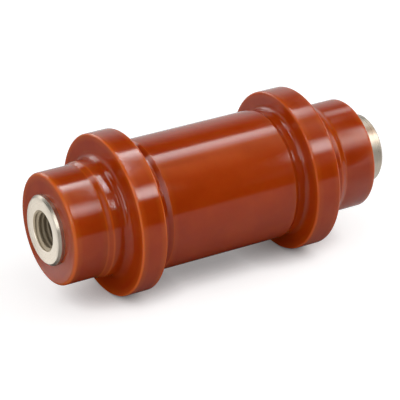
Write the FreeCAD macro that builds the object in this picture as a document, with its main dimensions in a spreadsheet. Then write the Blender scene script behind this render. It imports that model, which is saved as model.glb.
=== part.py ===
"""Cast epoxy support insulator with a tapped metal insert in each end.

The insulator stands on its lower insert: +Z runs up its axis, and the origin is the centre of
the lower insert's outer face. Lengths are in millimetres. The cast body is turned from one half
profile and mirrored. Each insert is turned from bar, then drilled and countersunk from its
outer face, and the epoxy is cast round the waist of its shank.
"""
import FreeCAD, Part
import os

import Sketcher
from FreeCAD import Rotation, Vector

# Driving dimensions: radii are measured from the axis, and lengths along it.
SIZES = {
    "boss_radius": 22.0,
    "boss_length": 14.0,
    "neck_radius": 22.8,
    "neck_taper": 2.2,
    "neck_length": 7.1,
    "rib_radius": 32.0,
    "rib_width": 10.7,
    "groove_radius": 25.1,
    "groove_length": 4.4,
    "belt_radius": 26.0,
    "belt_taper": 1.7,
    "belt_length": 54.8,
    "edge_chamfer": 0.8,
    "neck_root_chamfer": 2.5,
    "groove_root_chamfer": 1.0,
    "insert_radius": 13.8,
    "lower_projection": 2.2,
    "upper_projection": 9.4,
    "insert_edge_chamfer": 0.9,
    "seal_land": 10.0,
    "waist_radius": 11.4,
    "waist_length": 18.0,
    "head_length": 10.0,
    "tap_radius": 6.92,
    "mouth_chamfer": 1.33,
    "drill_point_angle": 118.0,
    "blind_wall": 7.0,
}

# A profile lists its corners. Each has its radius, its distance along the axis from the corner
# before it (None where they are level), and the name of its chamfer, or None if it is sharp.
CAST_HALF = (
    ("sizes.boss_radius", None, "edge_chamfer"),
    ("sizes.boss_radius", "sizes.boss_length", None),
    ("sizes.neck_radius", "sizes.neck_taper", None),
    ("sizes.neck_radius", "sizes.neck_length", "neck_root_chamfer"),
    ("sizes.rib_radius", None, "edge_chamfer"),
    ("sizes.rib_radius", "sizes.rib_width", "edge_chamfer"),
    ("sizes.groove_radius", None, "groove_root_chamfer"),
    ("sizes.groove_radius", "sizes.groove_length", None),
    ("sizes.belt_radius", "sizes.belt_taper", None),
    ("sizes.belt_radius", "sizes.belt_length / 2", None),
)

# The shank from the casting's end face inwards: a land that seals the joint, a waist that the
# epoxy grips, and a head. The casting's socket has the same corners.
SHANK = (
    ("sizes.insert_radius", "sizes.seal_land", None),
    ("sizes.waist_radius", None, None),
    ("sizes.waist_radius", "sizes.waist_length", None),
    ("sizes.insert_radius", None, None),
    ("sizes.insert_radius", "sizes.head_length", None),
)

MOUTH_ANGLE = 90.0
HALF_TURN = 180.0
FULL_TURN = 360.0

# How far apart a sketch's corners lie before its dimensions move them, and how closely rings match.
ROUGH_STEP = 5.0
MATCH = 1e-4


def total_length(profile):
    """Return the expression for the distance between a profile's first and last corners."""
    return " + ".join(f"({run})" for _, run, _ in profile if run)


def add_sizes(doc):
    """Put the driving dimensions into a sheet, one named cell each."""
    sheet = doc.addObject("Spreadsheet::Sheet", "sizes")
    for row, (name, number) in enumerate(SIZES.items(), start=1):
        sheet.set(f"A{row}", name)
        sheet.set(f"B{row}", str(number))
        sheet.setAlias(f"B{row}", name)
    doc.recompute()


def origin_plane(body, role):
    """Return one of a body's own origin planes."""
    return next(item for item in body.Origin.OriginFeatures if item.Role == role)


def bind(sketch, kind, first, second, rough, size):
    """Dimension one corner from another and drive the dimension with an expression."""
    number = sketch.addConstraint(Sketcher.Constraint(kind, *first, *second, rough))
    sketch.setExpression(f"Constraints[{number}]", size)


def sketch_profile(body, name, profile):
    """Sketch a closed half profile that starts and ends on the axis.

    It is drawn as a rough staircase first, then each corner is dimensioned: its radius from
    the axis and its height from the corner before it. Line number n starts at corner n, where
    corner 0 is the body's origin and the last corner closes the profile on the axis.
    """
    sketch = body.newObject("Sketcher::SketchObject", name)
    sketch.AttachmentSupport = [(origin_plane(body, "XZ_Plane"), "")]
    sketch.MapMode = "FlatFace"
    origin, vertical_axis = (-1, 1), -2
    corners = [Vector(0, 0, 0)]
    for _, run, _ in profile:
        corners.append(corners[-1] + (Vector(0, ROUGH_STEP, 0) if run else Vector(ROUGH_STEP, 0, 0)))
    corners.append(Vector(0, corners[-1].y, 0))
    last = len(corners) - 1
    for start, end in zip(corners, corners[1:] + corners[:1]):
        sketch.addGeometry(Part.LineSegment(start, end), False)
    for line in range(last):
        sketch.addConstraint(Sketcher.Constraint("Coincident", line, 2, line + 1, 1))
    sketch.addConstraint(Sketcher.Constraint("Coincident", last, 2, 0, 1))
    sketch.addConstraint(Sketcher.Constraint("Coincident", 0, 1, *origin))
    for corner, (radius, run, _) in enumerate(profile, start=1):
        bind(sketch, "DistanceX", origin, (corner, 1), corners[corner].x, radius)
        if run:
            bind(sketch, "DistanceY", (corner - 1, 1), (corner, 1), ROUGH_STEP, run)
        else:
            sketch.addConstraint(Sketcher.Constraint("Horizontal", corner - 1))
    sketch.addConstraint(Sketcher.Constraint("Horizontal", last - 1))
    sketch.addConstraint(Sketcher.Constraint("PointOnObject", last, 1, vertical_axis))
    return sketch


def turn(body, kind, name, sketch):
    """Turn a profile sketch through a full circle, as a Revolution or a Groove."""
    feature = body.newObject(f"PartDesign::{kind}", name)
    feature.Profile = sketch
    feature.ReferenceAxis = (sketch, ["V_Axis"])
    feature.Angle = FULL_TURN
    body.Document.recompute()
    return feature


def ring_edge(feature, radius, height):
    """Return the name of the circular edge round the axis at a radius and a height."""
    for number, edge in enumerate(feature.Shape.Edges, start=1):
        curve = edge.Curve
        if not isinstance(curve, Part.Circle) or abs(curve.Radius - radius) > MATCH:
            continue
        if abs(curve.Center.z - height) < MATCH:
            return f"Edge{number}"
    raise ValueError(f"{feature.Label} has no ring of radius {radius} at height {height}")


def chamfer(body, name, base, corners, size):
    """Break the ring edges that a profile's corners make."""
    feature = body.newObject("PartDesign::Chamfer", name)
    feature.Base = (base, [ring_edge(base, corner.x, corner.y) for corner in corners])
    feature.setExpression("Size", size)
    body.Document.recompute()
    return feature


def make_cast_body(doc):
    """Make the epoxy casting: bosses, necks, ribs and belt, with a socket in each end."""
    body = doc.addObject("PartDesign::Body", "EpoxyBody")
    body.Label = "epoxy_body"
    outline = sketch_profile(body, "HalfProfile", CAST_HALF)
    feature = turn(body, "Revolution", "HalfCasting", outline)
    for size in dict.fromkeys(name for _, _, name in CAST_HALF if name):
        corners = [
            outline.getPoint(corner, 1)
            for corner, (_, _, name) in enumerate(CAST_HALF, start=1)
            if name == size
        ]
        feature = chamfer(body, size, feature, corners, f"sizes.{size}")
    mouth = (("sizes.insert_radius", None, None),)
    turn(body, "Groove", "Socket", sketch_profile(body, "SocketProfile", mouth + SHANK))
    middle = body.newObject("PartDesign::Plane", "MiddlePlane")
    middle.AttachmentSupport = [(origin_plane(body, "XY_Plane"), "")]
    middle.MapMode = "FlatFace"
    middle.setExpression("AttachmentOffset.Base.z", total_length(CAST_HALF))
    mirrored = body.newObject("PartDesign::Mirrored", "OtherHalf")
    mirrored.TransformMode = "Whole shape"
    mirrored.MirrorPlane = (middle, [""])
    body.Tip = mirrored
    body.setExpression("Placement.Base.z", "sizes.lower_projection")
    return body


def drill_socket(body, name, depth):
    """Drill and countersink a blind hole for tapping, from the insert's outer face to a depth."""
    centre = body.newObject("Sketcher::SketchObject", f"{name}_centre")
    centre.AttachmentSupport = [(origin_plane(body, "XY_Plane"), "")]
    centre.MapMode = "FlatFace"
    centre.addGeometry(Part.Circle(Vector(0, 0, 0), Vector(0, 0, 1), ROUGH_STEP), False)
    centre.addConstraint(Sketcher.Constraint("Coincident", 0, 3, -1, 1))
    number = centre.addConstraint(Sketcher.Constraint("Radius", 0, ROUGH_STEP))
    centre.setExpression(f"Constraints[{number}]", "sizes.tap_radius")
    body.Document.recompute()
    hole = body.newObject("PartDesign::Hole", name)
    hole.Profile = centre
    hole.Reversed = True
    hole.ThreadType = "None"
    hole.DepthType = "Dimension"
    hole.DrillPoint = "Angled"
    hole.DrillForDepth = True
    hole.HoleCutType = "Countersink"
    hole.HoleCutCountersinkAngle = MOUTH_ANGLE
    hole.setExpression("Diameter", "2 * sizes.tap_radius")
    hole.setExpression("HoleCutDiameter", "2 * (sizes.tap_radius + sizes.mouth_chamfer)")
    hole.setExpression("DrillPointAngle", "sizes.drill_point_angle")
    hole.setExpression("Depth", depth)


def make_insert(doc, label, projection):
    """Make a turned insert with its outer face at its own origin and its shank along +Z."""
    body = doc.addObject("PartDesign::Body", label.title().replace("_", ""))
    body.Label = label
    collar = (("sizes.insert_radius", None, None), ("sizes.insert_radius", projection, None))
    profile = collar + SHANK
    outline = sketch_profile(body, f"{label}_profile", profile)
    bar = turn(body, "Revolution", f"{label}_bar", outline)
    face_corner = outline.getPoint(1, 1)
    chamfer(body, f"{label}_edge", bar, [face_corner], "sizes.insert_edge_chamfer")
    drill_socket(body, f"{label}_hole", f"{total_length(profile)} - sizes.blind_wall")
    return body


def place_upper_insert(body):
    """Turn the upper insert end for end and set its face above the casting."""
    body.Placement.Rotation = Rotation(Vector(1, 0, 0), HALF_TURN)
    casting_top = f"sizes.lower_projection + 2 * ({total_length(CAST_HALF)})"
    body.setExpression("Placement.Base.z", f"{casting_top} + sizes.upper_projection")


def check(doc, bodies):
    """Stop unless every object has recomputed and every piece is one valid solid."""
    for item in doc.Objects:
        if {"Invalid", "Error"} & set(item.State):
            raise RuntimeError(f"{item.Label} didn't recompute: {item.State}")
    for body in bodies:
        shape = body.Shape
        if shape.isNull() or not shape.isValid() or len(shape.Solids) != 1:
            raise RuntimeError(f"{body.Label} isn't one valid solid")


def main():
    """Build the three pieces and write each to its own file."""
    doc = FreeCAD.newDocument("support_insulator")
    add_sizes(doc)
    lower = make_insert(doc, "lower_insert", "sizes.lower_projection")
    upper = make_insert(doc, "upper_insert", "sizes.upper_projection")
    place_upper_insert(upper)
    bodies = (make_cast_body(doc), lower, upper)
    doc.recompute()
    check(doc, bodies)
    os.makedirs("parts", exist_ok=True)
    for body in bodies:
        body.Shape.exportStep(f"parts/{body.Label}.step")
        box = body.Shape.BoundBox
        print(f"{body.Label}: {body.Shape.Volume:.1f} mm3, z {box.ZMin:.3f} to {box.ZMax:.3f}")


main()
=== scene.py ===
"""Looks of a cast epoxy support insulator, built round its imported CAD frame.

The insulator stands upright in the frame, with +Z up its axis, and every size here is in
millimetres until a mesh is finished. The photograph shows it lying on its two ribs, so the
photograph's floor is a plane beside the part that both ribs touch, and the photograph's
upward direction is -Y.
"""

import logging
import math
from dataclasses import dataclass, replace
from enum import Enum
from itertools import accumulate
from typing import Union

import bmesh
import bpy
from mathutils import Matrix, Vector


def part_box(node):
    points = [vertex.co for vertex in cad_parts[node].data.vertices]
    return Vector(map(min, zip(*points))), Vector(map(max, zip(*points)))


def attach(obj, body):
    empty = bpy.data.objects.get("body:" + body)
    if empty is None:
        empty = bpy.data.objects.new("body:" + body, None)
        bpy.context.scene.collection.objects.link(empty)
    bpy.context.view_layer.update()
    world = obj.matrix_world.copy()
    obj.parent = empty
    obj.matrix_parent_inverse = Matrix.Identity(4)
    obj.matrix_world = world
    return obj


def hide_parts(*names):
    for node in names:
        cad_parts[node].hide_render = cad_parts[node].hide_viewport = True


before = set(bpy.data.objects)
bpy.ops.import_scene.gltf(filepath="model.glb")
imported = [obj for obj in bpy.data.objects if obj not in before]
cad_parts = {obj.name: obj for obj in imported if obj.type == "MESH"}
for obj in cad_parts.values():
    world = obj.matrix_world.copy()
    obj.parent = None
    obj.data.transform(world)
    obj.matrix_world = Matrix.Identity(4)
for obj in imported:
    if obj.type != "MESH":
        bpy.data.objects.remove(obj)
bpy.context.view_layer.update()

LOG = logging.getLogger("support_insulator")

MM = 0.001
AXIS = Vector((0, 0, 1))
PHOTO_UP = Vector((0, -1, 0))
AWAY = Vector((-1, 0, 0))
CENTRE = Vector((0, 0, 0))
MERGE_DISTANCE = 1e-4
SHARP_ANGLE = math.radians(32)

# The vertex layer of painted edge light: how much paler orange the casting is painted at a corner,
# from 0 to 1 at a narrow edge.
PAINTED_EDGE_LIGHT = "painted_edge_light"

# A rounded corner's arc has this many steps, and a support point this far along each flat.
ARC_STEPS = 8
SUPPORT = 0.12

# A corner's painted glow has this share of its strength at the arc's ends,
# and this far to fade out.
PAINTED_GLOW_AT_ENDS = 0.3
PAINTED_GLOW_RUN = 2.2

# Where a noise's values mostly lie, so that a range between two roughnesses is used in full.
NOISE_LOW, NOISE_HIGH = 0.3, 0.7

# A Mix node repeats its names, so its inputs and outputs go by number.
SHARE, FLOAT_A, FLOAT_B, COLOUR_A, COLOUR_B = 0, 2, 3, 6, 7
FLOAT_OUT, COLOUR_OUT = 0, 2

Value = Union[float, int, tuple, Vector, bpy.types.NodeSocket]


class Slot(Enum):
    """Names for two material slots, which nothing in this script uses."""

    EPOXY = "cast_epoxy"
    METAL = "insert_metal"


class Lights(Enum):
    """What a lamp lights: mirror images on glossy skins, the matt colour under them, or both."""

    GLOSS = "gloss"
    MATT = "matt"
    BOTH = "both"


def linear(colour: str) -> tuple[float, float, float, float]:
    """Turn an sRGB hex colour into linear RGBA.

    Args:
        colour: The colour as #RRGGBB.

    Returns:
        Red, green and blue as linear values, and an alpha of 1.
    """
    channels = [int(colour[start:start + 2], 16) / 255 for start in (1, 3, 5)]
    red, green, blue = (
        channel / 12.92 if channel <= 0.04045 else ((channel + 0.055) / 1.055) ** 2.4
        for channel in channels
    )
    return red, green, blue, 1.0


def add_node(
    tree: bpy.types.NodeTree, kind: str, inputs: dict[Union[str, int], Value], **settings: object
) -> bpy.types.Node:
    """Add a node with its settings and links.

    Args:
        tree: The node tree that the node goes into.
        kind: The node's type, without the prefix ShaderNode.
        inputs: What each input gets, by its name or number: a value, or a socket to link.
        **settings: The node's own properties.

    Returns:
        The new node.
    """
    node = tree.nodes.new(f"ShaderNode{kind}")
    for name, value in settings.items():
        setattr(node, name, value)
    for key, value in inputs.items():
        if isinstance(value, bpy.types.NodeSocket):
            tree.links.new(value, node.inputs[key])
        else:
            node.inputs[key].default_value = value
    return node


def fade(
    tree: bpy.types.NodeTree, strength: Value, length: bpy.types.NodeSocket,
    start: float, full: float,
) -> bpy.types.NodeSocket:
    """Fade a strength in along a length.

    Args:
        tree: The node tree that the nodes go into.
        strength: The full strength.
        length: The length, or a share of one.
        start: Where on the length the strength is still nothing.
        full: Where it is full.

    Returns:
        The faded strength.
    """
    ramp = add_node(tree, "MapRange", {"Value": length, "From Min": start, "From Max": full})
    return add_node(tree, "Math", {
        0: ramp.outputs["Result"], 1: strength,
    }, operation="MULTIPLY").outputs["Value"]


@dataclass(frozen=True)
class CastEpoxy:
    """Silica-filled epoxy cast in a polished mould, pigmented red-brown.

    The polished mould leaves a glossy skin with a faint waviness, so that lamps show as crisp
    bands with slightly soft edges. The filler scatters light a little way under the skin, red
    furthest, which makes narrow edges glow orange. It also clouds the pigment by a shade from
    place to place. On top of that, rounded edges and tapers are painted a paler orange, a
    painted glow and highlight.
    """

    pigment: str = "#B94204"
    pigment_deep: str = "#AE3A03"
    painted_edge_colour: str = "#E4701E"
    cloud_mm: float = 14.0
    grain_mm: float = 0.9
    grain_share: float = 0.12
    shade_low: float = 0.35
    shade_high: float = 0.65
    ripple_mm: float = 5.0
    ripple_height_mm: float = 0.004
    ior: float = 1.55
    roughness_low: float = 0.09
    roughness_high: float = 0.14
    glow_depth_mm: float = 2.5
    glow_share: float = 0.6
    glow_reach: tuple[float, float, float] = (1.0, 0.2, 0.06)

    def material(self) -> bpy.types.Material:
        """Make the epoxy's material.

        Returns:
            The finished material.
        """
        material = bpy.data.materials.new("cast_epoxy_gloss")
        material.use_nodes = True
        tree = material.node_tree
        tree.nodes.clear()
        place = add_node(tree, "TexCoord", {}).outputs["Object"]
        cloud = add_node(tree, "TexNoise", {
            "Vector": place, "Scale": 1 / (self.cloud_mm * MM), "Detail": 3.0, "Roughness": 0.55,
        })
        grain = add_node(tree, "TexNoise", {
            "Vector": place, "Scale": 1 / (self.grain_mm * MM), "Detail": 2.0,
        })
        shade = add_node(tree, "Mix", {
            SHARE: self.grain_share, FLOAT_A: cloud.outputs["Fac"], FLOAT_B: grain.outputs["Fac"],
        }, data_type="FLOAT")
        spread = add_node(tree, "MapRange", {
            "Value": shade.outputs[FLOAT_OUT],
            "From Min": self.shade_low, "From Max": self.shade_high,
        })
        pigment = add_node(tree, "Mix", {
            SHARE: spread.outputs["Result"],
            COLOUR_A: linear(self.pigment_deep), COLOUR_B: linear(self.pigment),
        }, data_type="RGBA")
        # Paler orange painted on edges and tapers from this layer: a painted glow and highlight.
        edge = add_node(tree, "Attribute", {}, attribute_name=PAINTED_EDGE_LIGHT)
        pigment_with_painted_edges = add_node(tree, "Mix", {
            SHARE: edge.outputs["Fac"],
            COLOUR_A: pigment.outputs[COLOUR_OUT], COLOUR_B: linear(self.painted_edge_colour),
        }, data_type="RGBA")
        roughness = add_node(tree, "MapRange", {
            "Value": cloud.outputs["Fac"], "From Min": NOISE_LOW, "From Max": NOISE_HIGH,
            "To Min": self.roughness_low, "To Max": self.roughness_high,
        })
        ripple = add_node(tree, "TexNoise", {
            "Vector": place, "Scale": 1 / (self.ripple_mm * MM), "Detail": 1.0,
        })
        skin = add_node(tree, "Bump", {
            "Height": ripple.outputs["Fac"], "Strength": 1.0,
            "Distance": self.ripple_height_mm * MM,
        })
        surface = add_node(tree, "BsdfPrincipled", {
            "Base Color": pigment_with_painted_edges.outputs[COLOUR_OUT],
            "Roughness": roughness.outputs["Result"],
            "IOR": self.ior,
            "Subsurface Weight": self.glow_share,
            "Subsurface Radius": self.glow_reach,
            "Subsurface Scale": self.glow_depth_mm * MM,
            "Normal": skin.outputs["Normal"],
        })
        add_node(tree, "OutputMaterial", {"Surface": surface.outputs["BSDF"]})
        return material


@dataclass(frozen=True)
class PlatedSteel:
    """Steel turned on a lathe and plated with nickel.

    Nickel gives it a warm, slightly yellow silver. The tool leaves fine rings round the axis,
    which stretch each highlight across them. The true feed of about 0.1 mm is too fine to show,
    so the rings are drawn about four times as coarse. The tap leaves the hole's wall rougher, and
    plating hardly reaches into it, so it is a dull grey-brown that scatters light.
    """

    nickel: str = "#D9D0C2"
    nickel_dull: str = "#C4B9A8"
    ring_mm: float = 0.42
    ring_height_mm: float = 0.012
    stain_mm: float = 6.0
    roughness_low: float = 0.27
    roughness_high: float = 0.40
    hole_steel: str = "#A89A82"
    hole_radius_mm: float = 8.15
    hole_roughness: float = 0.5
    hole_metallic: float = 0.45

    def material(self) -> bpy.types.Material:
        """Make the inserts' material.

        Returns:
            The finished material.
        """
        material = bpy.data.materials.new("nickel_plated_turned_steel")
        material.use_nodes = True
        tree = material.node_tree
        tree.nodes.clear()
        place = add_node(tree, "TexCoord", {}).outputs["Object"]
        parts = add_node(tree, "SeparateXYZ", {"Vector": place})
        across = add_node(tree, "CombineXYZ", {"X": parts.outputs["X"], "Y": parts.outputs["Y"]})
        radius = add_node(tree, "VectorMath", {0: across.outputs["Vector"]}, operation="LENGTH")
        travel = add_node(tree, "Math", {
            0: radius.outputs["Value"], 1: parts.outputs["Z"],
        }, operation="ADD")
        rings = add_node(tree, "TexNoise", {
            "W": travel.outputs["Value"], "Scale": 1 / (self.ring_mm * MM), "Detail": 2.0,
        }, noise_dimensions="1D")
        stain = add_node(tree, "TexNoise", {
            "Vector": place, "Scale": 1 / (self.stain_mm * MM), "Detail": 3.0,
        })
        nickel = add_node(tree, "Mix", {
            SHARE: stain.outputs["Fac"],
            COLOUR_A: linear(self.nickel_dull), COLOUR_B: linear(self.nickel),
        }, data_type="RGBA")
        turned = add_node(tree, "MapRange", {
            "Value": rings.outputs["Fac"], "From Min": NOISE_LOW, "From Max": NOISE_HIGH,
            "To Min": self.roughness_low, "To Max": self.roughness_high,
        })
        in_hole = add_node(tree, "Math", {
            0: radius.outputs["Value"], 1: self.hole_radius_mm * MM,
        }, operation="LESS_THAN").outputs["Value"]
        colour = add_node(tree, "Mix", {
            SHARE: in_hole,
            COLOUR_A: nickel.outputs[COLOUR_OUT], COLOUR_B: linear(self.hole_steel),
        }, data_type="RGBA")
        roughness = add_node(tree, "Mix", {
            SHARE: in_hole, FLOAT_A: turned.outputs["Result"], FLOAT_B: self.hole_roughness,
        }, data_type="FLOAT")
        metallic = add_node(tree, "Mix", {
            SHARE: in_hole, FLOAT_A: 1.0, FLOAT_B: self.hole_metallic,
        }, data_type="FLOAT")
        grooves = add_node(tree, "Bump", {
            "Height": rings.outputs["Fac"], "Strength": 1.0,
            "Distance": self.ring_height_mm * MM,
        })
        surface = add_node(tree, "BsdfPrincipled", {
            "Base Color": colour.outputs[COLOUR_OUT],
            "Metallic": metallic.outputs[FLOAT_OUT],
            "Roughness": roughness.outputs[FLOAT_OUT],
            "Normal": grooves.outputs["Normal"],
        })
        add_node(tree, "OutputMaterial", {"Surface": surface.outputs["BSDF"]})
        return material


@dataclass(frozen=True)
class Corner:
    """A corner of a turned outline, in millimetres from the axis and along it.

    Its rounding is the radius of its arc, or 0 where it is sharp. Its glow is painted light:
    how much paler orange the arc is painted, from 0 to 1 for a narrow edge.
    """

    radius: float
    height: float
    rounding: float = 0.0
    glow: float = 0.0


def round_corner(
    outline: bmesh.types.BMesh, corner: bmesh.types.BMVert, rounding: float, glow: float
) -> None:
    """Round one corner of an outline, with a support point on each flat beside it.

    The painted glow is 0 where a second point lies on each flat, a little further out.

    Args:
        outline: The mesh that holds the outline.
        corner: The outline's corner, which joins two edges.
        rounding: The radius of the arc.
        glow: How much paler the arc's middle is painted, from 0 to 1 for a narrow edge.
    """
    painted_glow_layer = outline.verts.layers.float[PAINTED_EDGE_LIGHT]
    tip = corner.co.copy()
    before, after = (edge.other_vert(corner).co - corner.co for edge in corner.link_edges)
    reach = rounding / math.tan(before.angle(after) / 2)
    for edge in list(corner.link_edges):
        for distance, share in ((reach + PAINTED_GLOW_RUN, 0.0), (reach + SUPPORT, PAINTED_GLOW_AT_ENDS)):
            length = edge.calc_length()
            if length > distance + 2 * SUPPORT:
                point = bmesh.utils.edge_split(edge, corner, distance / length)[1]
                point[painted_glow_layer] = glow * share
                edge = next(item for item in corner.link_edges if point in item.verts)
    arc = bmesh.ops.bevel(
        outline, geom=[corner], offset=reach, offset_type="OFFSET", segments=ARC_STEPS,
        profile=0.5, affect="VERTICES", material=-1,
    )["verts"]
    nearest = min((point.co - tip).length for point in arc)
    for point in arc:
        middle = (reach - (point.co - tip).length) / (reach - nearest)
        point[painted_glow_layer] = glow * (PAINTED_GLOW_AT_ENDS + (1 - PAINTED_GLOW_AT_ENDS) * middle)


def turn(outline: bmesh.types.BMesh, corners: list[Corner], steps: int) -> None:
    """Draw an outline through its corners, round them, and spin it once about the axis.

    Args:
        outline: The mesh that gets the turned surface.
        corners: The outline's corners in order.
        steps: How many steps make the full turn.
    """
    if PAINTED_EDGE_LIGHT not in outline.verts.layers.float:
        outline.verts.layers.float.new(PAINTED_EDGE_LIGHT)
    points = [outline.verts.new((corner.radius, 0, corner.height)) for corner in corners]
    for start, end in zip(points, points[1:]):
        outline.edges.new((start, end))
    for point, corner in zip(points, corners):
        if corner.rounding:
            round_corner(outline, point, corner.rounding, corner.glow)
    wire = [edge for edge in outline.edges if edge.is_wire]
    ends = {end for edge in wire for end in edge.verts}
    bmesh.ops.spin(
        outline, geom=list(ends) + wire, cent=CENTRE, axis=AXIS, dvec=CENTRE,
        angle=math.tau, steps=steps, use_merge=True,
    )


def finish_piece(
    shape: bmesh.types.BMesh, name: str, node: str, material: bpy.types.Material
) -> bpy.types.Object:
    """Turn a finished shape in millimetres into a piece that stands for a CAD node.

    Args:
        shape: The shape, which is used up.
        name: The piece's name.
        node: The CAD node that the piece stands for.
        material: The material that it is dressed in.

    Returns:
        The piece, with its place in its mesh.
    """
    bmesh.ops.remove_doubles(shape, verts=shape.verts, dist=MERGE_DISTANCE)
    bmesh.ops.dissolve_degenerate(shape, edges=shape.edges, dist=MERGE_DISTANCE)
    bmesh.ops.recalc_face_normals(shape, faces=shape.faces)
    for face in shape.faces:
        face.smooth = True
    for edge in shape.edges:
        edge.smooth = edge.calc_face_angle(0.0) < SHARP_ANGLE
    bmesh.ops.scale(shape, vec=(MM, MM, MM), verts=shape.verts)
    mesh = bpy.data.meshes.new(name)
    shape.to_mesh(mesh)
    shape.free()
    mesh.materials.append(material)
    piece = bpy.data.objects.new(name, mesh)
    bpy.context.scene.collection.objects.link(piece)
    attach(piece, "root")
    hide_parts(node)
    LOG.info("%s: %d faces", name, len(mesh.polygons))
    return piece


@dataclass(frozen=True)
class Shank:
    """The part of an insert that the epoxy holds: a sealing land, a waist and a head."""

    radius: float = 13.8
    land: float = 10.0
    waist_radius: float = 11.4
    waist: float = 18.0
    head: float = 10.0

    def corners(self, start: float) -> list[Corner]:
        """List the shank's corners inwards from the casting's face.

        Args:
            start: The height of the casting's face.

        Returns:
            The corners, from the one that follows the face to the one on the axis.
        """
        waist_start, waist_end, end = accumulate((start + self.land, self.waist, self.head))
        return [
            Corner(self.radius, waist_start),
            Corner(self.waist_radius, waist_start),
            Corner(self.waist_radius, waist_end),
            Corner(self.radius, waist_end),
            Corner(self.radius, end),
            Corner(0.0, end),
        ]


@dataclass(frozen=True)
class CastBody:
    """The epoxy casting: two bosses, necks and ribs, and the belt between them.

    The two halves mirror each other, but the far half's edges are painted less pale, as they
    are in the photograph. Each corner's painted glow is a share of a narrow edge's.
    """

    boss_radius: float = 22.0
    boss: float = 14.0
    neck_radius: float = 22.8
    neck_taper: float = 2.2
    neck: float = 7.1
    rib_radius: float = 32.0
    rib: float = 10.7
    groove_radius: float = 25.1
    groove: float = 4.4
    belt_radius: float = 26.0
    belt_taper: float = 1.7
    end_round: float = 1.3
    edge_round: float = 0.9
    neck_root_round: float = 2.9
    taper_round: float = 3.2
    groove_root_round: float = 1.8
    soft_round: float = 0.6
    # Painted glow at the corners: paler orange for edge light and highlights on tapers and belt.
    edge_painted_glow: float = 1.0
    boss_painted_glow: float = 0.45
    neck_painted_glow: float = 0.6
    belt_painted_glow: float = 0.6
    far_painted_glow: float = 0.6
    steps: int = 192

    def half(self, shank: Shank, bottom: float) -> list[Corner]:
        """List the corners of one half, from the axis in the socket to the end of the belt.

        Args:
            shank: The insert's shank, which the socket follows.
            bottom: The height of the casting's end face.

        Returns:
            The corners in order.
        """
        boss, taper, rib, groove_start, groove_end, belt = accumulate((
            bottom + self.boss, self.neck_taper, self.neck, self.rib, self.groove, self.belt_taper,
        ))
        socket = shank.corners(bottom)[::-1]
        return socket + [
            Corner(shank.radius, bottom),
            Corner(self.boss_radius, bottom, self.end_round, self.edge_painted_glow),
            Corner(self.boss_radius, boss, self.taper_round, self.boss_painted_glow),
            Corner(self.neck_radius, taper, self.taper_round, self.neck_painted_glow),
            Corner(self.neck_radius, rib, self.neck_root_round),
            Corner(self.rib_radius, rib, self.edge_round, self.edge_painted_glow),
            Corner(self.rib_radius, groove_start, self.edge_round, self.edge_painted_glow),
            Corner(self.groove_radius, groove_start, self.groove_root_round),
            Corner(self.groove_radius, groove_end, self.soft_round),
            Corner(self.belt_radius, belt, self.soft_round, self.belt_painted_glow),
        ]

    def build(self, shank: Shank, material: bpy.types.Material) -> bpy.types.Object:
        """Build the casting.

        Args:
            shank: The inserts' shank.
            material: The epoxy.

        Returns:
            The finished piece.
        """
        low, high = (corner.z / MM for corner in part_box("epoxy_body"))
        near_half = self.half(shank, low)
        far_half = [
            replace(corner, height=low + high - corner.height, glow=corner.glow * self.far_painted_glow)
            for corner in near_half[::-1]
        ]
        shape = bmesh.new()
        turn(shape, near_half + far_half, self.steps)
        return finish_piece(shape, "epoxy_casting", "epoxy_body", material)


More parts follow.
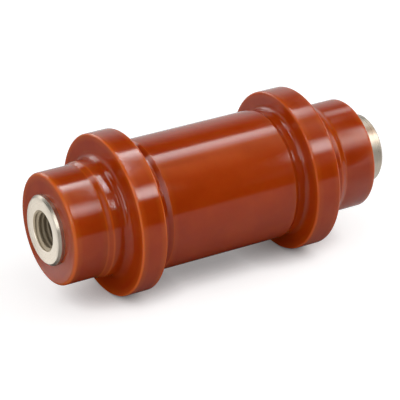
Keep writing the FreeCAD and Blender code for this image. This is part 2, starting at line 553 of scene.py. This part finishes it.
@dataclass(frozen=True)
class TappedHole:
    """A blind M16 x 2 hole: a countersunk mouth, the thread, its run-out and the drill's cone."""

    pitch: float = 2.0
    minor_radius: float = 6.92
    major_radius: float = 8.0
    mouth_radius: float = 8.25
    drill_angle: float = math.radians(118)
    full_thread: float = 22.0
    run_out: float = 3.0
    spare_turns: int = 2
    flank_cuts: int = 2
    steps: int = 120

    def one_pitch(
        self, shape: bmesh.types.BMesh, start: float
    ) -> list[Union[bmesh.types.BMVert, bmesh.types.BMEdge]]:
        """Draw the thread's outline over one pitch, from the middle of one root to the next.

        Args:
            shape: The mesh that gets the outline.
            start: The height of its first point.

        Returns:
            The outline's points and edges.
        """
        root, flank, crest = self.pitch / 8, self.pitch * 5 / 16, self.pitch / 4
        heights = accumulate((start, root / 2, flank, crest, flank, root / 2))
        deep, shallow = self.major_radius, self.minor_radius
        radii = (deep, deep, shallow, shallow, deep, deep)
        points = [shape.verts.new((radius, 0, height)) for radius, height in zip(radii, heights)]
        edges = [shape.edges.new(pair) for pair in zip(points, points[1:])]
        bmesh.ops.subdivide_edges(shape, edges=edges, cuts=self.flank_cuts)
        return list(shape.verts) + list(shape.edges)

    def cut(self, shape: bmesh.types.BMesh, depth: float) -> list[bmesh.types.BMEdge]:
        """Make the hole's wall from its mouth at height 0 down to the drill's point.

        The thread is made with spare turns past both ends and cut off square. Then its points
        move towards the minor radius over the run-out, and out to the countersink at the mouth.

        Args:
            shape: An empty mesh that gets the wall.
            depth: The height of the drill's point.

        Returns:
            The edges round the mouth.
        """
        end = self.full_thread + self.run_out
        bmesh.ops.spin(
            shape, geom=self.one_pitch(shape, -self.spare_turns * self.pitch), cent=CENTRE,
            axis=AXIS, dvec=AXIS * self.pitch / self.steps, angle=math.tau, steps=self.steps,
        )
        first_turn = list(shape.verts) + list(shape.edges) + list(shape.faces)
        for number in range(1, math.ceil(end / self.pitch) + self.spare_turns + 1):
            copy = bmesh.ops.duplicate(shape, geom=first_turn)["geom"]
            points = [item for item in copy if isinstance(item, bmesh.types.BMVert)]
            bmesh.ops.translate(shape, verts=points, vec=AXIS * self.pitch * number)
        bmesh.ops.remove_doubles(shape, verts=shape.verts, dist=MERGE_DISTANCE)
        for height, direction in ((0.0, -AXIS), (end, AXIS)):
            bmesh.ops.bisect_plane(
                shape, geom=list(shape.verts) + list(shape.edges) + list(shape.faces),
                dist=MERGE_DISTANCE, plane_co=AXIS * height, plane_no=direction, clear_outer=True,
            )
        for point in shape.verts:
            across = point.co.xy
            share = min(1.0, (end - point.co.z) / self.run_out)
            threaded = self.minor_radius + (across.length - self.minor_radius) * share
            radius = max(threaded, self.mouth_radius - point.co.z)
            point.co.xy = across.normalized() * radius
        mouth = self.rim(shape, 0.0)
        wall_end = depth - self.minor_radius / math.tan(self.drill_angle / 2)
        self.deepen(shape, self.rim(shape, end), wall_end)
        tip = self.deepen(shape, self.rim(shape, wall_end), depth)
        bmesh.ops.pointmerge(shape, verts=tip, merge_co=AXIS * depth)
        return mouth

    @staticmethod
    def rim(shape: bmesh.types.BMesh, height: float) -> list[bmesh.types.BMEdge]:
        """Find the open edges at a height.

        Args:
            shape: The mesh that holds them.
            height: The height, in millimetres.

        Returns:
            The edges.
        """
        return [
            edge for edge in shape.edges
            if edge.is_boundary
            and all(abs(point.co.z - height) < MERGE_DISTANCE for point in edge.verts)
        ]

    @staticmethod
    def deepen(
        shape: bmesh.types.BMesh, rim: list[bmesh.types.BMEdge], height: float
    ) -> list[bmesh.types.BMVert]:
        """Carry the wall on from an open rim to another height.

        Args:
            shape: The mesh that holds the wall.
            rim: The open edges.
            height: Where the new rim lies.

        Returns:
            The points of the new rim.
        """
        grown = bmesh.ops.extrude_edge_only(shape, edges=rim)["geom"]
        points = [item for item in grown if isinstance(item, bmesh.types.BMVert)]
        for point in points:
            point.co.z = height
        return points


@dataclass(frozen=True)
class Insert:
    """A turned insert with a tapped hole, made with its face at height 0 and its shank above.

    The thread's turns give the hole's mouth uneven points, so a band of triangles joins it to the
    turned face outside it.
    """

    shank: Shank
    hole: TappedHole
    projection: float
    blind_wall: float = 7.0
    edge_chamfer: float = 0.9
    mouth_band: float = 1.0
    steps: int = 128

    def build(
        self, name: str, node: str, material: bpy.types.Material, place: Matrix
    ) -> bpy.types.Object:
        """Build the insert.

        Args:
            name: The piece's name.
            node: The CAD node that it stands for.
            material: The plated steel.
            place: Where the insert goes in the frame, in millimetres.

        Returns:
            The finished piece.
        """
        shank = self.shank.corners(self.projection)
        shape = bmesh.new()
        mouth = self.hole.cut(shape, shank[-1].height - self.blind_wall)
        face_start = self.hole.mouth_radius + self.mouth_band
        outside = [
            Corner(face_start, 0.0),
            Corner(self.shank.radius - self.edge_chamfer, 0.0),
            Corner(self.shank.radius, self.edge_chamfer),
        ]
        turn(shape, outside + shank, self.steps)
        face_edge = [
            edge for edge in self.hole.rim(shape, 0.0)
            if all(abs(point.co.xy.length - face_start) < MERGE_DISTANCE for point in edge.verts)
        ]
        bmesh.ops.triangle_fill(shape, edges=mouth + face_edge, normal=-AXIS)
        shape.transform(place)
        return finish_piece(shape, name, node, material)


@dataclass(frozen=True)
class Softbox:
    """A soft lamp beside the insulator, between two bearings about the axis and two heights.

    Its radiance is the brightness that a mirror would show, where 1 is display white. It may
    fade towards its sides, its bottom and its top, each over a share of its width or height.
    """

    name: str
    first_deg: float
    last_deg: float
    low: float
    high: float
    radiance: float
    lights: Lights = Lights.GLOSS
    fade_first: float = 0.0
    fade_last: float = 0.0
    fade_low: float = 0.0
    fade_high: float = 0.0
    colour: str = "#FFFFFF"
    distance: float = 600.0

    def fades(self, tree: bpy.types.NodeTree) -> Value:
        """Make the lamp's strength from its place between the lamp's sides.

        Args:
            tree: The lamp's node tree.

        Returns:
            The strength, as a socket, or 1 for a lamp without fades.
        """
        place = add_node(tree, "NewGeometry", {}).outputs["Parametric"]
        parts = add_node(tree, "SeparateXYZ", {"Vector": place})
        strength: Value = 1.0
        for across, side, full in (
            ("X", 0.0, self.fade_first), ("X", 1.0, 1.0 - self.fade_last),
            ("Y", 0.0, self.fade_low), ("Y", 1.0, 1.0 - self.fade_high),
        ):
            if full != side:
                strength = fade(tree, strength, parts.outputs[across], side, full)
        return strength

    def light(self) -> None:
        """Hang the lamp, facing the axis."""
        bearing = math.radians((self.first_deg + self.last_deg) / 2)
        outwards = Vector((math.cos(bearing), math.sin(bearing), 0))
        sideways = AXIS.cross(outwards)
        spread = math.radians(self.last_deg - self.first_deg)
        width = 2 * self.distance * math.tan(spread / 2) * MM
        height = (self.high - self.low) * MM
        lamp = bpy.data.lights.new(self.name, "AREA")
        lamp.shape = "RECTANGLE"
        lamp.size = width
        lamp.size_y = height
        lamp.energy = self.radiance * math.pi * width * height
        lamp.use_nodes = True
        tree = lamp.node_tree
        tree.nodes.clear()
        glow = add_node(tree, "Emission", {
            "Color": linear(self.colour), "Strength": self.fades(tree),
        })
        add_node(tree, "OutputLight", {"Surface": glow.outputs[0]})
        holder = bpy.data.objects.new(self.name, lamp)
        turned = Matrix((sideways, AXIS, outwards)).transposed().to_4x4()
        middle = outwards * self.distance + AXIS * (self.low + self.high) / 2
        holder.matrix_world = Matrix.Translation(middle * MM) @ turned
        holder.visible_camera = False
        holder.visible_glossy = self.lights is not Lights.MATT
        holder.visible_diffuse = self.lights is not Lights.GLOSS
        bpy.context.scene.collection.objects.link(holder)


@dataclass(frozen=True)
class FaceCard:
    """A round card close below the near insert, placed where the insert's face mirrors it.

    It is no wider than the insert, so the casting's face round the insert doesn't mirror it,
    and it lights nothing matt.
    """

    name: str = "near_face_card"
    radius: float = 13.2
    middle: tuple[float, float, float] = (-2.9, 1.7, -1.5)
    radiance: float = 0.93

    def light(self) -> None:
        """Hang the card, facing up the axis."""
        lamp = bpy.data.lights.new(self.name, "AREA")
        lamp.shape = "DISK"
        lamp.size = 2 * self.radius * MM
        lamp.energy = self.radiance * (math.pi * self.radius * MM) ** 2
        holder = bpy.data.objects.new(self.name, lamp)
        turned = Matrix.Rotation(math.pi, 4, "X")
        holder.matrix_world = Matrix.Translation(Vector(self.middle) * MM) @ turned
        holder.visible_camera = False
        holder.visible_diffuse = False
        bpy.context.scene.collection.objects.link(holder)


class Measure(Enum):
    """A length on the photograph's floor."""

    ALONG = "up the insulator's axis"
    ACROSS = "from under the axis towards the camera"
    FROM_POOL = "from the middle of the pool of light"


@dataclass(frozen=True)
class Zone:
    """A zone of the floor with soft edges.

    Each edge gives a length, where on it the zone starts and where it is full, in millimetres.
    """

    share: float
    edges: tuple[tuple[Measure, float, float], ...]


@dataclass(frozen=True)
class PaleFloor:
    """Matt white paper, drawn from one side only.

    It glows towards the camera where it is open to the light, so that it shows white there and
    keeps the part's shadow: real shade on the paper and painted shade from ambient occlusion in
    the glow. In reflections it glows beyond both ends and in a painted pool of light beside the
    near end, and painted shade makes it dark under and behind the part.
    """

    name: str
    glow: float
    paper: str = "#CAC9C8"
    shade: str = "#000000"
    shadow_reach: float = 18.0
    shadow_dark: float = 0.05
    shadow_light: float = 0.57
    pool: tuple[float, float, float] = (-23.0, 32.0, -8.0)
    # Painted light that reflections show on the floor.
    glow_zones: tuple[Zone, ...] = (
        Zone(0.1, ((Measure.ALONG, 0.0, -50.0),)),
        Zone(0.3, ((Measure.ALONG, 120.0, 160.0), (Measure.ACROSS, 75.0, 45.0))),
        Zone(0.5, ((Measure.FROM_POOL, 18.0, 4.0),)),
    )
    # Painted shade that reflections show on the floor.
    shade_zones: tuple[Zone, ...] = (
        Zone(0.95, (
            (Measure.ACROSS, 45.0, 0.0), (Measure.ACROSS, -90.0, -50.0),
            (Measure.ALONG, -15.0, 5.0), (Measure.ALONG, 150.0, 125.0),
        )),
        Zone(0.6, ((Measure.ACROSS, -25.0, -45.0), (Measure.ALONG, 20.0, -10.0))),
    )

    def reflected(
        self, tree: bpy.types.NodeTree, zones: tuple[Zone, ...]
    ) -> bpy.types.NodeSocket:
        """Add up zones of the floor, for rays that come from a glossy surface.

        Args:
            tree: The floor's node tree.
            zones: The zones.

        Returns:
            Their strength at each place, from 0 to 1, or 0 for other rays.
        """
        rays = add_node(tree, "LightPath", {})
        place = add_node(tree, "TexCoord", {}).outputs["Object"]
        parts = add_node(tree, "SeparateXYZ", {"Vector": place})
        from_pool = add_node(tree, "VectorMath", {
            0: place, 1: Vector(self.pool) * MM,
        }, operation="DISTANCE")
        lengths = {
            Measure.ALONG: parts.outputs["Z"],
            Measure.ACROSS: parts.outputs["X"],
            Measure.FROM_POOL: from_pool.outputs["Value"],
        }
        total: Value = 0.0
        for zone in zones:
            strength: Value = zone.share
            for measure, start, full in zone.edges:
                strength = fade(tree, strength, lengths[measure], start * MM, full * MM)
            total = add_node(tree, "Math", {
                0: total, 1: strength,
            }, operation="ADD", use_clamp=True).outputs["Value"]
        return add_node(tree, "Math", {
            0: rays.outputs["Is Glossy Ray"], 1: total,
        }, operation="MULTIPLY").outputs["Value"]

    def material(self) -> bpy.types.Material:
        """Make the floor's material.

        Returns:
            The finished material.
        """
        material = bpy.data.materials.new(self.name)
        material.use_nodes = True
        tree = material.node_tree
        tree.nodes.clear()
        rays = add_node(tree, "LightPath", {})
        colour = add_node(tree, "Mix", {
            SHARE: self.reflected(tree, self.shade_zones),
            COLOUR_A: linear(self.paper), COLOUR_B: linear(self.shade),
        }, data_type="RGBA")
        openness = add_node(tree, "AmbientOcclusion", {"Distance": self.shadow_reach * MM})
        seen = add_node(tree, "MapRange", {
            "Value": openness.outputs["AO"],
            "From Min": self.shadow_dark, "From Max": self.shadow_light, "To Max": self.glow,
        })
        strength = add_node(tree, "Mix", {
            SHARE: rays.outputs["Is Camera Ray"],
            FLOAT_A: self.reflected(tree, self.glow_zones), FLOAT_B: seen.outputs["Result"],
        }, data_type="FLOAT")
        glow = add_node(tree, "Emission", {"Strength": strength.outputs[FLOAT_OUT]})
        paper = add_node(tree, "BsdfDiffuse", {"Color": colour.outputs[COLOUR_OUT]})
        lit = add_node(tree, "AddShader", {0: glow.outputs[0], 1: paper.outputs[0]})
        clear = add_node(tree, "BsdfTransparent", {})
        side = add_node(tree, "NewGeometry", {})
        surface = add_node(tree, "MixShader", {
            0: side.outputs["Backfacing"], 1: lit.outputs[0], 2: clear.outputs[0],
        })
        add_node(tree, "OutputMaterial", {"Surface": surface.outputs[0]})
        return material


@dataclass(frozen=True)
class Studio:
    """The floor that the photograph shows, a floor to stand on, the room and its lamps.

    Matt surfaces get an even fill from the room. Mirror images show it dark, apart from a pale
    sweep behind the part, which is white up to sweep_white and gone by sweep_top above the floor,
    and comes in between sweep_side and sweep_back behind the part, all as sines of angles.
    """

    rib_radius: float
    reach: float = 3000.0
    side_glow: float = 0.68
    ground_glow: float = 0.7
    room: float = 0.012
    fill: float = 0.445
    sweep: float = 0.65
    sweep_top: float = 0.65
    sweep_white: float = 0.30
    sweep_side: float = 0.15
    sweep_back: float = 0.4

    lamps: tuple[Softbox, ...] = (
        # The overhead bank shows as the bright band along the top, brightest over the near half.
        Softbox("overhead_bank", -112, -90, 255, 462, 5.0,
                fade_first=0.15, fade_last=0.55, fade_high=0.06),
        Softbox("overhead_hot_part", -112, -90, 270, 460, 7.0,
                fade_first=0.15, fade_last=0.55, fade_low=0.2, fade_high=1.0),
        Softbox("overhead_tail", -112, -92, -450, 255, 2.5, fade_first=0.15, fade_last=0.6),
        Softbox("overhead_near_end", -113, -95, 250, 290, 7.5,
                fade_first=0.15, fade_last=0.6, fade_high=0.9),
        Softbox("overhead_rib_part", -111, -97, 301, 325, 5.0,
                fade_first=0.2, fade_last=0.6, fade_low=0.3, fade_high=0.3),
        # A warm wall and ceiling tint the belt below the band.
        Softbox("warm_wall", -80, -25, 330, 428, 1.0,
                fade_last=0.8, fade_high=0.3, colour="#FF893F"),
        Softbox("ceiling_glow", -94, -55, 200, 470, 1.2, fade_last=0.95, colour="#FFC78F"),
        # A cool window shows in the near neck.
        Softbox("neck_window", -112, -66, 85, 195, 3.0,
                fade_first=0.45, fade_last=0.5, colour="#F4F6FF"),
        Softbox("neck_card", -98, -64, 77, 86, 15.0,
                fade_first=0.5, fade_last=0.5, fade_low=0.4, fade_high=0.4,
                colour="#EDF2FF", distance=150),
        # Cards close to the part light one boss, rib or insert each.
        Softbox("near_boss_card", -65, -35, 50, 76, 5.0,
                fade_first=0.5, fade_last=0.5, distance=150),
        Softbox("near_rib_card", -53, -34, 81, 98, 7.5,
                fade_first=0.4, fade_last=0.3, distance=150),
        Softbox("far_rib_card", -56, -35, 171, 187, 6.8,
                fade_first=0.4, fade_last=0.3, distance=150),
        Softbox("far_boss_card", -70, -31, 197, 224, 4.3,
                fade_first=0.5, fade_last=0.5, colour="#FFF0E2", distance=150),
        Softbox("far_insert_card", -75, 5, 224, 250, 3.8,
                fade_first=0.2, fade_last=0.65, distance=150),
        # Lamps further off show in the far boss, in the faces and in the near edges.
        Softbox("far_boss_base", -92, -15, 464, 520, 0.7, fade_first=0.4, fade_last=0.4),
        Softbox("far_boss_side", -136, -113, 464, 520, 2.4, fade_first=0.4, fade_last=0.4),
        Softbox("far_window", -150, -75, 1600, 4000, 5.0,
                fade_first=0.2, fade_last=0.4, fade_low=0.2),
        Softbox("camera_side_card", -80, 8, -420, -90, 1.5,
                fade_first=0.4, fade_last=0.5, fade_low=0.3, fade_high=0.3),
        Softbox("back_window", -170, -140, -250, 150, 1.8, fade_first=0.2, fade_last=0.2),
        Softbox("near_chamfer_card", -50, -15, -1500, -900, 1.6, fade_first=0.3, fade_last=0.3),
        # Fills light the matt colour evenly from above, from both ends and from below.
        Softbox("overhead_fill", -88, -50, -100, 450, 0.85, Lights.MATT),
        Softbox("far_end_fill", -90, -30, 650, 1800, 2.7, Lights.MATT),
        Softbox("near_end_fill", -90, -30, -2500, -700, 2.4, Lights.BOTH),
        Softbox("underside_fill", 120, 180, -300, 450, 0.3, Lights.MATT),
    )

    def floor(self, name: str, place: Matrix, glow: float) -> bpy.types.Object:
        """Lay one sheet of paper.

        Args:
            name: The sheet's name.
            place: Where it lies, from a sheet at the origin that faces +Z.
            glow: How much it glows towards the camera.

        Returns:
            The sheet.
        """
        shape = bmesh.new()
        bmesh.ops.create_grid(shape, x_segments=1, y_segments=1, size=self.reach)
        shape.transform(Matrix.Scale(MM, 4) @ place)
        mesh = bpy.data.meshes.new(name)
        shape.to_mesh(mesh)
        shape.free()
        mesh.materials.append(PaleFloor(name, glow).material())
        sheet = bpy.data.objects.new(name, mesh)
        bpy.context.scene.collection.objects.link(sheet)
        sheet.visible_shadow = False
        return sheet

    def room_light(self) -> None:
        """Light the room, which the camera itself sees as plain white."""
        world = bpy.data.worlds.new("studio_room")
        world.use_nodes = True
        tree = world.node_tree
        tree.nodes.clear()
        rays = add_node(tree, "LightPath", {})
        direction = add_node(tree, "TexCoord", {}).outputs["Generated"]
        upwards, behind = (
            add_node(tree, "VectorMath", {0: direction, 1: way}, operation="DOT_PRODUCT")
            for way in (PHOTO_UP, AWAY)
        )
        low = fade(tree, 1.0, upwards.outputs["Value"], self.sweep_top, self.sweep_white)
        sweep = fade(tree, low, behind.outputs["Value"], self.sweep_side, self.sweep_back)
        mirrored = add_node(tree, "Mix", {
            SHARE: sweep, FLOAT_A: self.room, FLOAT_B: self.sweep,
        }, data_type="FLOAT")
        indirect = add_node(tree, "Mix", {
            SHARE: rays.outputs["Is Diffuse Ray"],
            FLOAT_A: mirrored.outputs[FLOAT_OUT], FLOAT_B: self.fill,
        }, data_type="FLOAT")
        strength = add_node(tree, "Mix", {
            SHARE: rays.outputs["Is Camera Ray"],
            FLOAT_A: indirect.outputs[FLOAT_OUT], FLOAT_B: 1.0,
        }, data_type="FLOAT")
        background = add_node(tree, "Background", {
            "Color": linear("#FFFFFF"), "Strength": strength.outputs[FLOAT_OUT],
        })
        add_node(tree, "OutputWorld", {"Surface": background.outputs[0]})
        world.cycles.sampling_method = "NONE"
        bpy.context.scene.world = world

    def build(self) -> None:
        """Lay the floors and light the room and the lamps."""
        side = Matrix.Translation((0, self.rib_radius, 0)) @ Matrix.Rotation(math.pi / 2, 4, "X")
        self.floor("photo_floor", side, self.side_glow)
        ground = self.floor("standing_floor", Matrix.Identity(4), self.ground_glow)
        ground.visible_diffuse = False
        ground.visible_glossy = False
        ground.visible_transmission = False
        self.room_light()
        for lamp in (*self.lamps, FaceCard()):
            lamp.light()


@dataclass(frozen=True)
class PhotoCamera:
    """The photograph's camera, as it looked down on the lying insulator.

    Its distance and aim are in millimetres, its lens too, and its clip end is in metres.
    """

    elevation_deg: float = 26.15
    heading_deg: float = 30.89
    distance: float = 941.1
    aim_height: float = 69.8
    aim_right: float = 0.60
    aim_above: float = 4.07
    lens: float = 216.94
    clip_end: float = 20.0

    def build(self) -> None:
        """Place the camera and make it the scene's."""
        elevation, heading = math.radians(self.elevation_deg), math.radians(self.heading_deg)
        level = Vector((math.cos(heading), 0, -math.sin(heading)))
        backwards = level * math.cos(elevation) + PHOTO_UP * math.sin(elevation)
        right = PHOTO_UP.cross(backwards).normalized()
        above = backwards.cross(right)
        aim = AXIS * self.aim_height - right * self.aim_right - above * self.aim_above
        camera = bpy.data.cameras.new("photo_camera")
        camera.lens = self.lens
        camera.clip_end = self.clip_end
        holder = bpy.data.objects.new("photo_camera", camera)
        turned = Matrix((right, above, backwards)).transposed().to_4x4()
        holder.matrix_world = Matrix.Translation((aim + backwards * self.distance) * MM) @ turned
        bpy.context.scene.collection.objects.link(holder)
        bpy.context.scene.camera = holder


def main() -> None:
    """Build the insulator, its studio and its camera."""
    logging.basicConfig(level=logging.INFO, format="%(name)s: %(message)s")
    bpy.context.scene.view_settings.view_transform = "Standard"
    shank = Shank()
    hole = TappedHole()
    body = CastBody()
    steel = PlatedSteel().material()
    body.build(shank, CastEpoxy().material())
    casting_low, casting_high = (corner.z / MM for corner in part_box("epoxy_body"))
    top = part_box("upper_insert")[1].z / MM
    lower = Insert(shank, hole, projection=casting_low)
    lower.build("lower_threaded_insert", "lower_insert", steel, Matrix.Identity(4))
    upper = Insert(shank, hole, projection=top - casting_high)
    end_for_end = Matrix.Translation(AXIS * top) @ Matrix.Rotation(math.pi, 4, "X")
    upper.build("upper_threaded_insert", "upper_insert", steel, end_for_end)
    Studio(body.rib_radius).build()
    PhotoCamera().build()


if __name__ == "__main__":
    main()
